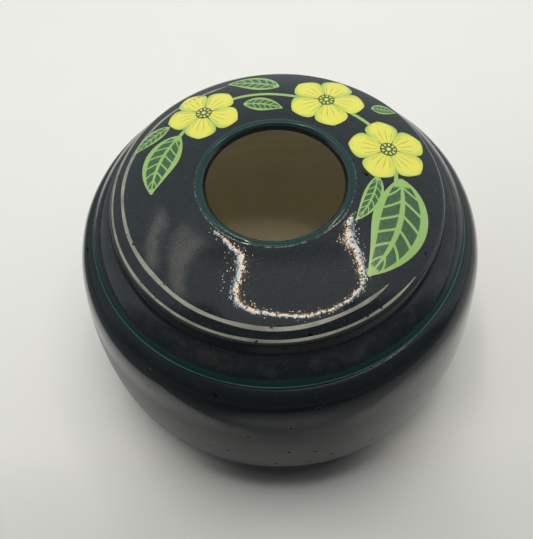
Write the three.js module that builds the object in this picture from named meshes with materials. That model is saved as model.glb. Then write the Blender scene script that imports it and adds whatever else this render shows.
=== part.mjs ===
// A two-piece stoneware hair receiver: a squat bowl with a low belly, and a stepped, domed lid with a
// round hole in its middle. Both pieces are thrown shapes, so each is a closed outline spun round Z.
// Lengths are millimetres, +Z is up, and the origin is the centre of the bowl's foot, on the table.
import * as THREE from "three";

// Driving dimensions: the mouth, which the bowl and the lid share
const mouthRadius = 44; // opening of the bowl
const lipWidth = 4.5; // how far the lid's lip reaches out past the mouth
const lipOverhang = 1; // how far the lip stands out past the flat rim that it rests on
const rimTopHeight = 56.1; // rim above the table
const seatGap = 0.3; // air between rim and lip
const flangeClearance = 0.5; // play between the lid's flange and the mouth

// Driving dimensions: the bowl
const bellySwell = 8.7; // how far the belly stands out past the lip
const bellyHeight = 18.5; // widest ring above the table
const shoulderHeight = 45.5; // where the wall turns into the tighter curve of the shoulder
const shoulderLean = 2.6; // how far the wall has come in there
const bowlWall = 4.2; // wall at the belly
const rimThickness = 4; // depth of the straight inside edge of the mouth
const floorThickness = 4; // clay between the hollow and the recess under it
const footRadius = 36; // outside of the foot ring
const footWidth = 3.2; // flat on which the bowl stands
const footDepth = 1.8; // recess inside the foot ring
const footEase = 0.5; // rounding of the foot's edges

// Driving dimensions: the lid, from the lip up to the hole
const bandWidth = 5.9; // sloping outer band, from the lip's edge in to the step
const bandRise = 6; // how far that band climbs, from the lip's underside
const stepInset = 1; // lean of the step
const stepRise = 3.5; // height of the step
const domeRise = 4.6; // climb of the dome, from the top of the step to the bead
const crownInset = 9.7; // place where the dome's slopes would meet, in from the step
const crownDrop = 0.35; // the same place, below the foot of the bead
const holeRadius = 17.1;
const beadWidth = 2.5; // raised rim round the hole
const beadRise = 0.25;
const beadRoll = 1.4; // how far the bead rolls down into the hole
const lidWall = 2;
const flangeDepth = 5; // how far the flange reaches down into the mouth
const flangeThickness = 3.4;
const edgeEase = 0.6; // rounding of the glazed edges
const hollowEase = 2.5; // rounding of the corner inside the lid

// The sloping band swells out a little: its curve's control point, as shares of its width and rise
const bandSwellShares = { across: 0.62, up: 0.76 };

// The bead, as shares of its width out from the hole: its crest, and the control points of the short
// curve up its outside and of the long curve down into the hole
const beadShares = { crest: 0.66, outside: 0.86, roll: 0.32 };

// How finely the round shapes are cut
const turnSegments = 64;
const curveSteps = 3;

// Control point of the wall's curve, as a share of the climb from the belly to the shoulder
const wallShares = { bend: 0.5 };

// What follows from the driving dimensions
const lipRadius = mouthRadius + lipWidth;
const rimRadius = lipRadius - lipOverhang;
const bellyRadius = lipRadius + bellySwell;
const shoulderRadius = bellyRadius - shoulderLean;
const wallBendHeight = bellyHeight + (shoulderHeight - bellyHeight) * wallShares.bend;
const wallSlope = shoulderLean / (shoulderHeight - wallBendHeight);
const shoulderBendRadius = shoulderRadius - wallSlope * (rimTopHeight - shoulderHeight);
const floorHeight = footDepth + floorThickness;
const footInnerRadius = footRadius - footWidth;
const lipUnderside = rimTopHeight + seatGap;
const ledgeRadius = lipRadius - bandWidth;
const ledgeHeight = lipUnderside + bandRise;
const stepRadius = ledgeRadius - stepInset;
const stepHeight = ledgeHeight + stepRise;
const domeHeight = stepHeight + domeRise;
const flangeOuterRadius = mouthRadius - flangeClearance;
const flangeInnerRadius = flangeOuterRadius - flangeThickness;
const flangeBottom = lipUnderside - flangeDepth;

// The bowl, from the middle of its underside out over the foot, up the outside, over the rim and back
// down the inside to the middle of its floor.
function bowlOutline() {
  const outline = new THREE.Path();
  outline.moveTo(0, footDepth);
  outline.lineTo(footInnerRadius, footDepth);
  outline.lineTo(footInnerRadius, footEase);
  outline.quadraticCurveTo(footInnerRadius, 0, footInnerRadius + footEase, 0);
  outline.lineTo(footRadius - footEase, 0);
  outline.quadraticCurveTo(footRadius, 0, footRadius, footEase);
  outline.lineTo(footRadius, footDepth);
  outline.absellipse(
    footRadius,
    bellyHeight,
    bellyRadius - footRadius,
    bellyHeight - footDepth,
    -Math.PI / 2,
    0,
    false,
  );
  outline.quadraticCurveTo(bellyRadius, wallBendHeight, shoulderRadius, shoulderHeight);
  outline.quadraticCurveTo(shoulderBendRadius, rimTopHeight, rimRadius, rimTopHeight);
  outline.lineTo(mouthRadius + edgeEase, rimTopHeight);
  outline.quadraticCurveTo(mouthRadius, rimTopHeight, mouthRadius, rimTopHeight - edgeEase);
  outline.lineTo(mouthRadius, rimTopHeight - rimThickness);
  outline.absellipse(
    mouthRadius,
    bellyHeight,
    bellyRadius - bowlWall - mouthRadius,
    rimTopHeight - rimThickness - bellyHeight,
    Math.PI / 2,
    0,
    true,
  );
  outline.absellipse(
    footInnerRadius,
    bellyHeight,
    bellyRadius - bowlWall - footInnerRadius,
    bellyHeight - floorHeight,
    0,
    -Math.PI / 2,
    true,
  );
  outline.lineTo(0, floorHeight);
  return outline;
}

// The lid, from the bottom of its flange out under the lip, up over the band, the step and the dome to
// the hole, and back along its underside, which is the dome lowered by the wall.
function lidOutline() {
  const crownRadius = stepRadius - crownInset;
  const crownHeight = domeHeight - crownDrop;
  const outline = new THREE.Path();
  outline.moveTo(flangeInnerRadius, flangeBottom + edgeEase);
  outline.quadraticCurveTo(flangeInnerRadius, flangeBottom, flangeInnerRadius + edgeEase, flangeBottom);
  outline.lineTo(flangeOuterRadius - edgeEase, flangeBottom);
  outline.quadraticCurveTo(flangeOuterRadius, flangeBottom, flangeOuterRadius, flangeBottom + edgeEase);
  outline.lineTo(flangeOuterRadius, lipUnderside);
  outline.lineTo(lipRadius - edgeEase, lipUnderside);
  outline.quadraticCurveTo(lipRadius, lipUnderside, lipRadius, lipUnderside + edgeEase);
  outline.quadraticCurveTo(
    ledgeRadius + bandWidth * bandSwellShares.across,
    lipUnderside + bandRise * bandSwellShares.up,
    ledgeRadius,
    ledgeHeight,
  );
  outline.lineTo(stepRadius, stepHeight);
  outline.quadraticCurveTo(crownRadius, crownHeight, holeRadius + beadWidth, domeHeight);
  outline.quadraticCurveTo(
    holeRadius + beadWidth * beadShares.outside,
    domeHeight + beadRise,
    holeRadius + beadWidth * beadShares.crest,
    domeHeight + beadRise,
  );
  outline.quadraticCurveTo(
    holeRadius + beadWidth * beadShares.roll,
    domeHeight + beadRise,
    holeRadius,
    domeHeight - beadRoll,
  );
  outline.quadraticCurveTo(
    holeRadius,
    domeHeight - lidWall,
    holeRadius + edgeEase,
    domeHeight - lidWall,
  );
  outline.quadraticCurveTo(
    crownRadius,
    crownHeight - lidWall,
    flangeInnerRadius - hollowEase,
    stepHeight - lidWall + hollowEase / 2,
  );
  outline.quadraticCurveTo(
    flangeInnerRadius,
    stepHeight - lidWall,
    flangeInnerRadius,
    stepHeight - lidWall - hollowEase,
  );
  outline.closePath();
  return outline;
}

// Spins an outline round Z. LatheGeometry turns about Y, so the result is tipped up.
function spun(outline) {
  return new THREE.LatheGeometry(outline.getPoints(curveSteps), turnSegments).rotateX(Math.PI / 2);
}

// Glossy black glaze over clay
function blackGlaze() {
  return new THREE.MeshStandardMaterial({ color: 0x1b1e1f, roughness: 0.12, metalness: 0 });
}

const bowl = new THREE.Mesh(spun(bowlOutline()), blackGlaze());
bowl.name = "bowl";

const lid = new THREE.Mesh(spun(lidOutline()), blackGlaze());
lid.name = "lid";

const hairReceiver = new THREE.Group();
hairReceiver.name = "hair_receiver";
hairReceiver.add(bowl, lid);

export default hairReceiver;
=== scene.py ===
# %% [markdown]
# # A black-glazed hair receiver
# A hair receiver is a small lidded jar from the dressing table. Hair from the comb is wound round a finger
# and dropped through the hole in the lid. This one is two thrown and glazed shapes: a squat bowl and a
# stepped, domed lid. The construction comes in first and stays fixed, and the looks are built on it.

# %% Load the construction
import math

import bmesh
import bpy
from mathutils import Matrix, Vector


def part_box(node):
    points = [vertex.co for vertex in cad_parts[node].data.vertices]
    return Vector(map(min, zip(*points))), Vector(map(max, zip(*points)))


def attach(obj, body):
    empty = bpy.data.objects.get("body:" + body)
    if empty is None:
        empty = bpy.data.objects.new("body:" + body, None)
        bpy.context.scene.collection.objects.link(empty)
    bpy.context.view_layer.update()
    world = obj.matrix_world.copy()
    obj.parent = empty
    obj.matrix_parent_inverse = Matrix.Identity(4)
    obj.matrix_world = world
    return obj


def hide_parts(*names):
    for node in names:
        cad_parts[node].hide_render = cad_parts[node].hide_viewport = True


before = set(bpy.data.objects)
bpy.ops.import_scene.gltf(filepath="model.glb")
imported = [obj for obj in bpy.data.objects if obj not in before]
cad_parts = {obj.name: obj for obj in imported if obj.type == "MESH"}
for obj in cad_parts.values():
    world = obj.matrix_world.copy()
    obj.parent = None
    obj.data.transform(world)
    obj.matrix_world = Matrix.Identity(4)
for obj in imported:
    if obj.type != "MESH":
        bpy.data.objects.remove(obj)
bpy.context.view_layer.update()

# %% [markdown]
# ## Sizes
# The overall sizes are read from the construction, so that the finished surfaces land on it. The smaller
# ones, such as the width of the lid's sloping band, are the potter's own sizes in millimetres.

# %% Sizes from the frame
MM = 0.001
bowl_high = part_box("bowl")[1]
lid_low, lid_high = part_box("lid")

BELLY_RADIUS = bowl_high.x
RIM_TOP = bowl_high.z
LIP_RADIUS = lid_high.x
LID_TOP = lid_high.z
FLANGE_BOTTOM = lid_low.z

LIP_WIDTH = 4.5 * MM
LIP_OVERHANG = 1 * MM
GLAZED_LIP = 2.2 * MM
SEAT_GAP = 0.3 * MM
MOUTH_RADIUS = LIP_RADIUS - LIP_WIDTH
RIM_RADIUS = LIP_RADIUS - LIP_OVERHANG
BARE_SEAT = LIP_RADIUS - GLAZED_LIP
LIP_UNDERSIDE = RIM_TOP + SEAT_GAP
print("widest", round(2 * BELLY_RADIUS / MM, 1), "mm, height", round(LID_TOP / MM, 1), "mm")

# %% Sizes of the bowl
BELLY_HEIGHT = 18.5 * MM
SHOULDER_HEIGHT = 45.5 * MM
SHOULDER_LEAN = 2.6 * MM
SHOULDER_RADIUS = BELLY_RADIUS - SHOULDER_LEAN
WALL_BEND_HEIGHT = (BELLY_HEIGHT + SHOULDER_HEIGHT) / 2
WALL_SLOPE = SHOULDER_LEAN / (SHOULDER_HEIGHT - WALL_BEND_HEIGHT)
SHOULDER_BEND_RADIUS = SHOULDER_RADIUS - WALL_SLOPE * (RIM_TOP - SHOULDER_HEIGHT)
BOWL_WALL = 4.2 * MM
RIM_THICKNESS = 4 * MM
FLOOR_THICKNESS = 4 * MM
FOOT_RADIUS = 36 * MM
FOOT_WIDTH = 3.2 * MM
FOOT_DEPTH = 1.8 * MM
FOOT_EASE = 0.5 * MM
FLOOR_HEIGHT = FOOT_DEPTH + FLOOR_THICKNESS
FOOT_INNER_RADIUS = FOOT_RADIUS - FOOT_WIDTH
INNER_BELLY_RADIUS = BELLY_RADIUS - BOWL_WALL
print("foot ring", round(2 * FOOT_RADIUS / MM, 1), "mm across, wall", round(BOWL_WALL / MM, 1), "mm")

# %% Sizes of the lid
BAND_WIDTH = 5.9 * MM
BAND_RISE = 6 * MM
STEP_INSET = 1 * MM
STEP_RISE = 3.5 * MM
CROWN_INSET = 9.7 * MM
CROWN_DROP = 0.35 * MM
HOLE_RADIUS = 17.1 * MM
BEAD_WIDTH = 2.5 * MM
BEAD_RISE = 0.25 * MM
BEAD_ROLL = 1.4 * MM
LID_WALL = 2 * MM
FLANGE_CLEARANCE = 0.5 * MM
FLANGE_THICKNESS = 3.4 * MM
EDGE_EASE = 0.6 * MM
LEDGE_RADIUS = LIP_RADIUS - BAND_WIDTH
LEDGE_HEIGHT = LIP_UNDERSIDE + BAND_RISE
STEP_RADIUS = LEDGE_RADIUS - STEP_INSET
STEP_HEIGHT = LEDGE_HEIGHT + STEP_RISE
DOME_HEIGHT = LID_TOP - BEAD_RISE
CROWN_RADIUS = STEP_RADIUS - CROWN_INSET
CROWN_HEIGHT = DOME_HEIGHT - CROWN_DROP
BEAD_RADIUS = HOLE_RADIUS + BEAD_WIDTH
FLANGE_OUTER_RADIUS = MOUTH_RADIUS - FLANGE_CLEARANCE
FLANGE_INNER_RADIUS = FLANGE_OUTER_RADIUS - FLANGE_THICKNESS
HOLE_UNDERSIDE = DOME_HEIGHT - LID_WALL
HOLLOW_TOP = STEP_HEIGHT - LID_WALL
print("lid", round(2 * LIP_RADIUS / MM, 1), "mm across, hole", round(2 * HOLE_RADIUS / MM, 1), "mm")

# %% [markdown]
# ## The camera
# The photograph was taken from above and in front, close to the jar. The camera's place is given from the
# middle of the lip's underside, in lip radii, as it was measured from the ellipses of the lip and the hole.

# %% Camera
CAMERA_FORWARD = -1.89496
CAMERA_UP = 2.67905
CAMERA_TURN = (29.796, 2.388, -1.735)
IMAGE_LONG_SIDE = 539
FOCAL_PIXELS = 600
SENSOR = 36

bpy.ops.object.camera_add(
    location=(0, CAMERA_FORWARD * LIP_RADIUS, LIP_UNDERSIDE + CAMERA_UP * LIP_RADIUS),
    rotation=[math.radians(angle) for angle in CAMERA_TURN],
)
camera = bpy.context.object
camera.name = "camera"
camera.data.sensor_width = SENSOR
camera.data.lens = FOCAL_PIXELS / IMAGE_LONG_SIDE * SENSOR
bpy.context.scene.camera = camera
print("camera", [round(c, 3) for c in camera.location], "lens", round(camera.data.lens, 1))

# %% [markdown]
# ## Drawing an outline
# Thrown pottery is round because it turns under the potter's hands, so both pieces start as half of their
# section: a line of points, each a radius and a height. Straight runs need only their ends. Round runs are
# arcs of ellipses or simple bends with one control point, cut into so many steps.

# %% Arcs and bends


def arc(centre, reach, start, end, steps):
    """Points on an ellipse: centre and reach are (radius, height), start and end are degrees."""
    points = []
    for step in range(steps + 1):
        angle = math.radians(start + (end - start) * step / steps)
        points.append((centre[0] + reach[0] * math.cos(angle), centre[1] + reach[1] * math.sin(angle)))
    return points


def bend(start, control, end, steps):
    """Points on a curve from start to end that leans towards control."""
    points = []
    for step in range(steps + 1):
        t = step / steps
        points.append(
            tuple((1 - t) ** 2 * a + 2 * t * (1 - t) * b + t * t * c for a, b, c in zip(start, control, end))
        )
    return points


def eased(corner, before, after, steps=5):
    """A rounded corner. before and after lead from it to the ends, as (radius, height)."""
    start, end = [(corner[0] + move[0], corner[1] + move[1]) for move in (before, after)]
    return bend(start, corner, end, steps)


def bend_on(outline, control, end, steps):
    """Carries an outline on from its last point with a bend."""
    outline.extend(bend(outline[-1], control, end, steps)[1:])


# %% [markdown]
# ## From an outline to a clay body
# A line could be turned with a Screw modifier, or shaped ring by ring from a circle. Here one vertex is
# extruded along the outline and then spun with the Spin operator, as a lathe would. The seam is welded and
# the faces are turned outwards afterwards, because Spin can leave them inside out. They are sorted too,
# because Spin leaves them in another order at each run, and the same script should give the same mesh.

# %% Spin an outline
TURN_STEPS = 192
WELD = 0.001 * MM
SMOOTH_ANGLE = math.radians(50)


def start_clean():
    """Leaves edit mode and deselects everything, because an operator acts on all that is selected."""
    if bpy.context.object and bpy.context.object.mode != "OBJECT":
        bpy.ops.object.mode_set(mode="OBJECT")
    bpy.ops.object.select_all(action="DESELECT")


def select(pieces):
    """Selects some pieces and makes the first one active."""
    start_clean()
    for piece in pieces:
        piece.select_set(True)
    bpy.context.view_layer.objects.active = pieces[0]


def take_new(name):
    """Names the object that was added last and puts its place and size into its mesh."""
    piece = bpy.context.object
    piece.name = name
    bpy.ops.object.transform_apply(location=True, rotation=True, scale=True)
    return piece


def draw_outline(name, points):
    """Extrudes one vertex through the points and stays in edit mode."""
    start_clean()
    radius, height = points[0]
    bpy.ops.mesh.primitive_plane_add(size=MM, location=(radius, 0, height))
    piece = take_new(name)
    bpy.ops.object.mode_set(mode="EDIT")
    bpy.ops.mesh.select_all(action="SELECT")
    bpy.ops.mesh.merge(type="CENTER")
    for here, there in zip(points, points[1:]):
        move = (there[0] - here[0], 0, there[1] - here[1])
        bpy.ops.mesh.extrude_region_move(TRANSFORM_OT_translate={"value": move})
    return piece


def spin_piece(name, points):
    """Turns an outline into a closed body."""
    piece = draw_outline(name, points)
    bpy.ops.mesh.select_all(action="SELECT")
    bpy.ops.mesh.spin(steps=TURN_STEPS, angle=math.tau, center=(0, 0, 0), axis=(0, 0, 1))
    bpy.ops.mesh.select_all(action="SELECT")
    bpy.ops.mesh.remove_doubles(threshold=WELD)
    mesh = bmesh.from_edit_mesh(piece.data)
    mesh.verts.index_update()
    mesh.faces.sort(key=lambda face: sum(corner.index**3 for corner in face.verts))
    bpy.ops.mesh.normals_make_consistent(inside=False)
    bpy.ops.object.mode_set(mode="OBJECT")
    bpy.ops.object.shade_smooth_by_angle(angle=SMOOTH_ANGLE)
    print(name, len(piece.data.polygons), "faces")
    return piece


# %% [markdown]
# ## The bowl
# The outline starts under the middle of the floor, runs out over the foot ring, up round the belly and
# shoulder to the flat rim that carries the lid, and down the inside. The inside keeps the potter's finger
# rings: a shallow ripple is added to the inner wall.

# %% Bowl outline
FINGER_RING_PITCH = 4.5 * MM
FINGER_RING_DEPTH = 0.12 * MM
ARC_STEPS = 28
WALL_STEPS = 20
FLOOR_SHARES = (0.8, 0.6, 0.4, 0.2, 0)


def with_finger_rings(points):
    """Adds a ripple across an inner wall, as fingers leave it while the clay turns."""
    rippled = []
    for radius, height in points:
        ripple = FINGER_RING_DEPTH * math.sin(math.tau * height / FINGER_RING_PITCH)
        rippled.append((radius + ripple, height))
    return rippled


bowl_outline = [(0, FOOT_DEPTH)]
bowl_outline += eased((FOOT_INNER_RADIUS, FOOT_DEPTH), (-FOOT_EASE, 0), (0, -FOOT_EASE))
bowl_outline += eased((FOOT_INNER_RADIUS, 0), (0, FOOT_EASE), (FOOT_EASE, 0))
bowl_outline += eased((FOOT_RADIUS, 0), (-FOOT_EASE, 0), (0, FOOT_EASE))
belly_reach = (BELLY_RADIUS - FOOT_RADIUS, BELLY_HEIGHT - FOOT_DEPTH)
bowl_outline += arc((FOOT_RADIUS, BELLY_HEIGHT), belly_reach, -90, 0, ARC_STEPS)
bend_on(bowl_outline, (BELLY_RADIUS, WALL_BEND_HEIGHT), (SHOULDER_RADIUS, SHOULDER_HEIGHT), WALL_STEPS)
bend_on(bowl_outline, (SHOULDER_BEND_RADIUS, RIM_TOP), (RIM_RADIUS, RIM_TOP), ARC_STEPS)
bowl_outline += [(BARE_SEAT, RIM_TOP)]
bowl_outline += eased((MOUTH_RADIUS, RIM_TOP), (EDGE_EASE, 0), (0, -EDGE_EASE))
wall_reach = (INNER_BELLY_RADIUS - MOUTH_RADIUS, RIM_TOP - RIM_THICKNESS - BELLY_HEIGHT)
bowl_outline += with_finger_rings(arc((MOUTH_RADIUS, BELLY_HEIGHT), wall_reach, 90, 0, 2 * ARC_STEPS))
floor_reach = (INNER_BELLY_RADIUS - FOOT_INNER_RADIUS, BELLY_HEIGHT - FLOOR_HEIGHT)
bowl_outline += arc((FOOT_INNER_RADIUS, BELLY_HEIGHT), floor_reach, 0, -90, ARC_STEPS)[1:]
bowl_outline += [(FOOT_INNER_RADIUS * share, FLOOR_HEIGHT) for share in FLOOR_SHARES]

bowl = spin_piece("bowl_glazed", bowl_outline)

# %% [markdown]
# ## The lid
# From the bottom of the flange the outline runs out under the lip, round the lip's thin edge, up the
# sloping band to a small ledge, up the step, over the dome to the bead round the hole, down the hole and
# back along the underside. The ledge and the foot of the bead are drawn as tight hollows, where glaze pools.

# %% Lid outline
LEDGE_EASE = 0.35 * MM
STEP_EASE = 0.9 * MM
BEAD_FOOT = 0.4 * MM
HOLLOW_EASE = 2.5 * MM
CREST_SHARE, OUTSIDE_SHARE, INSIDE_SHARE = 0.66, 0.86, 0.32
BEAD_CREST = HOLE_RADIUS + BEAD_WIDTH * CREST_SHARE
BEAD_OUTSIDE = HOLE_RADIUS + BEAD_WIDTH * OUTSIDE_SHARE
BEAD_INSIDE = HOLE_RADIUS + BEAD_WIDTH * INSIDE_SHARE
SWELL_SHARES = (0.62, 0.76)
BAND_SWELL = (LEDGE_RADIUS + BAND_WIDTH * SWELL_SHARES[0], LIP_UNDERSIDE + BAND_RISE * SWELL_SHARES[1])
BEAD_START_SHARE = 0.9
DOME_STEPS = 60
STEP_EASE_POINTS = 4
DOME_SLOPE = (CROWN_HEIGHT - STEP_HEIGHT) / (STEP_RADIUS - CROWN_RADIUS)

lid_outline = eased((FLANGE_INNER_RADIUS, FLANGE_BOTTOM), (0, EDGE_EASE), (EDGE_EASE, 0))
lid_outline += eased((FLANGE_OUTER_RADIUS, FLANGE_BOTTOM), (-EDGE_EASE, 0), (0, EDGE_EASE))
lid_outline += [(FLANGE_OUTER_RADIUS, LIP_UNDERSIDE), (BARE_SEAT, LIP_UNDERSIDE)]
lid_outline += eased((LIP_RADIUS, LIP_UNDERSIDE), (-EDGE_EASE, 0), (0, EDGE_EASE))
bend_on(lid_outline, BAND_SWELL, (LEDGE_RADIUS + LEDGE_EASE, LEDGE_HEIGHT - LEDGE_EASE / 2), steps=20)
lid_outline += eased(
    (LEDGE_RADIUS, LEDGE_HEIGHT), (LEDGE_EASE / 2, -LEDGE_EASE / 4), (-LEDGE_EASE / 3, LEDGE_EASE)
)
step_ends = (STEP_EASE / 3, -STEP_EASE), (-STEP_EASE, STEP_EASE * DOME_SLOPE)
lid_outline += eased((STEP_RADIUS, STEP_HEIGHT), *step_ends, steps=8)
dome_end = (BEAD_RADIUS + BEAD_FOOT, DOME_HEIGHT)
dome = bend((STEP_RADIUS, STEP_HEIGHT), (CROWN_RADIUS, CROWN_HEIGHT), dome_end, DOME_STEPS)
# the dome's first points lie in the step's rounded corner, so they are left out
lid_outline += dome[STEP_EASE_POINTS:]
bead_ends = (BEAD_FOOT * BEAD_START_SHARE, 0), (-BEAD_FOOT / 3, BEAD_FOOT / 4)
lid_outline += eased((BEAD_RADIUS, DOME_HEIGHT), *bead_ends, steps=8)
bend_on(lid_outline, (BEAD_OUTSIDE, LID_TOP), (BEAD_CREST, LID_TOP), steps=10)
bend_on(lid_outline, (BEAD_INSIDE, LID_TOP), (HOLE_RADIUS, DOME_HEIGHT - BEAD_ROLL), steps=18)
bend_on(lid_outline, (HOLE_RADIUS, HOLE_UNDERSIDE), (HOLE_RADIUS + EDGE_EASE, HOLE_UNDERSIDE), steps=5)
hollow_start = (FLANGE_INNER_RADIUS - HOLLOW_EASE, HOLLOW_TOP + HOLLOW_EASE / 2)
hollow_end = (FLANGE_INNER_RADIUS, HOLLOW_TOP - HOLLOW_EASE)
bend_on(lid_outline, (CROWN_RADIUS, CROWN_HEIGHT - LID_WALL), hollow_start, steps=30)
bend_on(lid_outline, (FLANGE_INNER_RADIUS, HOLLOW_TOP), hollow_end, steps=10)
lid_outline += [lid_outline[0]]

lid = spin_piece("lid_glazed", lid_outline)

# %% [markdown]
# ## Made by hand
# A perfect lathe shape looks like plastic under a gloss, because every reflection is a perfect ring. Fired
# clay is a little uneven, so a Displace modifier with soft clouds pulls the surface in by a fraction of a
# millimetre, never out, so that the sizes hold. The foot is left out, to stand flat.

# %% Unevenness
UNEVEN_SIZE = 17 * MM
UNEVEN_DEPTH = 0.16 * MM


def apply_modifier(piece, kind, **settings):
    """Adds a modifier to the active piece, sets it and applies it."""
    bpy.ops.object.modifier_add(type=kind)
    modifier = piece.modifiers[-1]
    for key, value in settings.items():
        setattr(modifier, key, value)
    bpy.ops.object.modifier_apply(modifier=modifier.name)


def make_uneven(piece, lowest):
    """Displaces the surface above a height inwards by soft clouds."""
    select([piece])
    group = piece.vertex_groups.new(name="uneven")
    group.add([v.index for v in piece.data.vertices if v.co.z > lowest], 1.0, "REPLACE")
    print(piece.name, "made uneven by up to", round(UNEVEN_DEPTH / MM, 2), "mm")
    clouds = bpy.data.textures.new(piece.name + "_clouds", type="CLOUDS")
    clouds.noise_scale = UNEVEN_SIZE
    apply_modifier(
        piece,
        "DISPLACE",
        texture=clouds,
        texture_coords="LOCAL",
        vertex_group=group.name,
        mid_level=1,
        strength=UNEVEN_DEPTH,
    )


make_uneven(bowl, FOOT_DEPTH)
make_uneven(lid, FLANGE_BOTTOM)

# %% [markdown]
# ## Painting on the glaze
# The stripes and the spray are thick enamel on top of the black. Each stroke is a grid that is laid row by
# row along its path: a row is turned, narrowed and moved to its station. Shrinkwrap then drops it on the
# lid and Solidify gives it its thickness, with its underside just inside the glaze. The grid's own UV map
# runs along and across the stroke, so a material can draw veins with it.

# %% Lay a stroke
DRAWING_HEIGHT = LID_TOP + 10 * MM
PAINT_THICKNESS = 0.16 * MM
PAINT_LIFT = 0.07 * MM


def drop_on_lid(piece, lift, thickness):
    """Drops a flat piece on the lid and gives it its thickness downwards."""
    apply_modifier(
        piece,
        "SHRINKWRAP",
        target=lid,
        wrap_method="PROJECT",
        use_project_z=True,
        use_negative_direction=True,
        use_positive_direction=False,
        offset=lift,
    )
    apply_modifier(piece, "SOLIDIFY", thickness=thickness, offset=-1)
    bpy.ops.object.shade_smooth_by_angle(angle=SMOOTH_ANGLE)


def lay_stroke(name, stations, across, lift=PAINT_LIFT):
    """A closed relief on the lid. A station is (x, y, heading in degrees, half width)."""
    start_clean()
    rows = len(stations)
    bpy.ops.mesh.primitive_grid_add(
        x_subdivisions=rows - 1, y_subdivisions=across, size=1, location=(0, 0, DRAWING_HEIGHT)
    )
    stroke = take_new(name)
    bpy.ops.object.mode_set(mode="EDIT")
    for row, (x, y, heading, half_width) in enumerate(stations):
        bpy.ops.mesh.select_all(action="DESELECT")
        mesh = bmesh.from_edit_mesh(stroke.data)
        for vertex in mesh.verts:
            if vertex.index % rows == row:
                vertex.select_set(True)
        mesh.select_flush_mode()
        start = row / (rows - 1) - 0.5
        pivot = (start, 0, DRAWING_HEIGHT)
        # with no window the rotate operator turns the other way, so the heading is negative
        bpy.ops.transform.rotate(value=math.radians(-heading), orient_axis="Z", center_override=pivot)
        bpy.ops.transform.resize(value=(2 * half_width, 2 * half_width, 1), center_override=pivot)
        bpy.ops.transform.translate(value=(x - start, y, 0))
    bpy.ops.object.mode_set(mode="OBJECT")
    drop_on_lid(stroke, lift, PAINT_THICKNESS)
    return stroke


def polar(azimuth, radius):
    """A place on the lid, seen from above. Azimuth 0 is the right-hand side, -90 is the front."""
    angle = math.radians(azimuth)
    return radius * math.cos(angle), radius * math.sin(angle)


# %% [markdown]
# ## Two cream stripes
# A banding wheel and a loaded brush make these: the jar turns and the brush stays still. The stripes
# therefore run nearly true, with a slow wander and small changes of width, and thin out where the brush is
# lifted, close to the leaves. Two sine waves of unlike lengths give the wander.

# %% Stripes
STRIPE_STEP = 2
FRONT = -90
# waves are counted in a turn of the lid, and a pressure wave is its strength, waves and start in degrees
SLOW_WAVES, QUICK_WAVES, QUICK_SHARE = 3.3, 11, 0.15
PRESSURE_WAVES = [(0.1, 7, 20), (0.07, 17, 0)]
LIFTED_LEAST = 0.15


def wave(degrees):
    """A sine of degrees."""
    return math.sin(math.radians(degrees))


def stripe_stations(radius, half_width, start, end, wander, taper):
    """Stations round the lid from one azimuth to another. The stripe lies furthest out at the front."""
    stations = []
    for step in range(int((end - start) / STRIPE_STEP) + 1):
        azimuth = start + step * STRIPE_STEP
        slow = math.cos(math.radians((azimuth - FRONT) * SLOW_WAVES))
        drift = slow + QUICK_SHARE * wave(azimuth * QUICK_WAVES)
        pressure = 1
        for strength, waves, begin in PRESSURE_WAVES:
            pressure += strength * wave(azimuth * waves + begin)
        lifted = min(1, (azimuth - start) / taper + LIFTED_LEAST, (end - azimuth) / taper + LIFTED_LEAST)
        x, y = polar(azimuth, radius + wander * drift)
        stations.append((x, y, azimuth + 90, half_width * pressure * lifted))
    return stations


# radius, half width, first and last azimuth, wander, and the length of the brush's lift in degrees
INNER_STRIPE = (38 * MM, 0.44 * MM, -252, -50, 0.45 * MM, 10)
OUTER_STRIPE = (40.85 * MM, 0.28 * MM, -295, -40, 0.1 * MM, 12)

inner_stripe = lay_stroke("stripe_inner", stripe_stations(*INNER_STRIPE), across=3)
outer_stripe = lay_stroke("stripe_outer", stripe_stations(*OUTER_STRIPE), across=3)
print("stripes", len(inner_stripe.data.polygons), len(outer_stripe.data.polygons), "faces")

# %% [markdown]
# ## A spray of leaves
# A leaf is one stroke: narrow at its base, widest a little past the middle and pointed at its tip. Its
# middle line is a bend between two places on the lid. The width follows a sine that is pushed along the
# leaf, which is enough for a pleasing outline. The whole spray hangs on one stem that curls round the hole.

# %% Leaves and stem
LEAF_ROWS = 30
LEAF_PUSH = 0.8
LEAF_FULLNESS = 0.85
LEAF_POINT = 0.04


def leaf_stations(base, tip, bow, half_width):
    """Stations from base to tip, which are (azimuth, radius). bow moves the middle line to its left."""
    base, tip = Vector(polar(*base)), Vector(polar(*tip))
    side = Vector((base.y - tip.y, tip.x - base.x)).normalized()
    control = (base + tip) / 2 + side * bow
    stations = []
    for row in range(LEAF_ROWS + 1):
        t = row / LEAF_ROWS
        place = (1 - t) ** 2 * base + 2 * t * (1 - t) * control + t * t * tip
        along = (1 - t) * (control - base) + t * (tip - control)
        width = half_width * max(LEAF_POINT, math.sin(math.pi * t**LEAF_PUSH)) ** LEAF_FULLNESS
        stations.append((place.x, place.y, math.degrees(math.atan2(along.y, along.x)), width))
    return stations


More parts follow.
